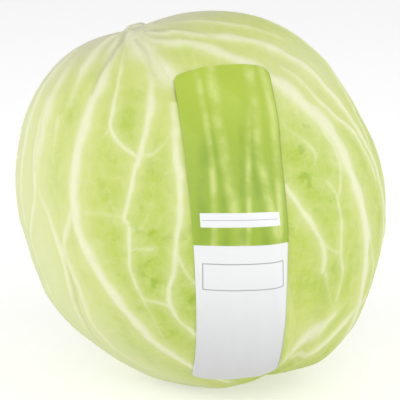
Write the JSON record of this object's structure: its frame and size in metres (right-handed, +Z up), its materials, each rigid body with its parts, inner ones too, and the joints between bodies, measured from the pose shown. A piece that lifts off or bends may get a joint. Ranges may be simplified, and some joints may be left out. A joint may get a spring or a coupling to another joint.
{
  "type": "cabbage head",
  "caption": "Whole pale green cabbage head with broad ribbed outer leaves wrapped round it, a short cut stem and a plain film label down its front, lying on a small flat spot.",
  "frame": {"origin": "on the surface the cabbage rests on, under the middle of the head, inside its flat spot", "axes": "+Z up; -Y towards the viewer of the picture, whose side carries the label; the stem end points up, to -X and to +Y"},
  "size_m": [0.1769, 0.1772, 0.178],
  "materials": {
    "head_leaf": "satin",
    "outer_leaf": "satin",
    "stem": "matte",
    "label_film": "satin"
  },
  "bodies": {
    "root": {"head": "head_leaf", "outer_leaf_1": "outer_leaf", "outer_leaf_2": "outer_leaf", "outer_leaf_3": "outer_leaf", "outer_leaf_4": "outer_leaf", "outer_leaf_5": "outer_leaf", "stem": "stem", "label": "label_film"}
  },
  "joints": []
}
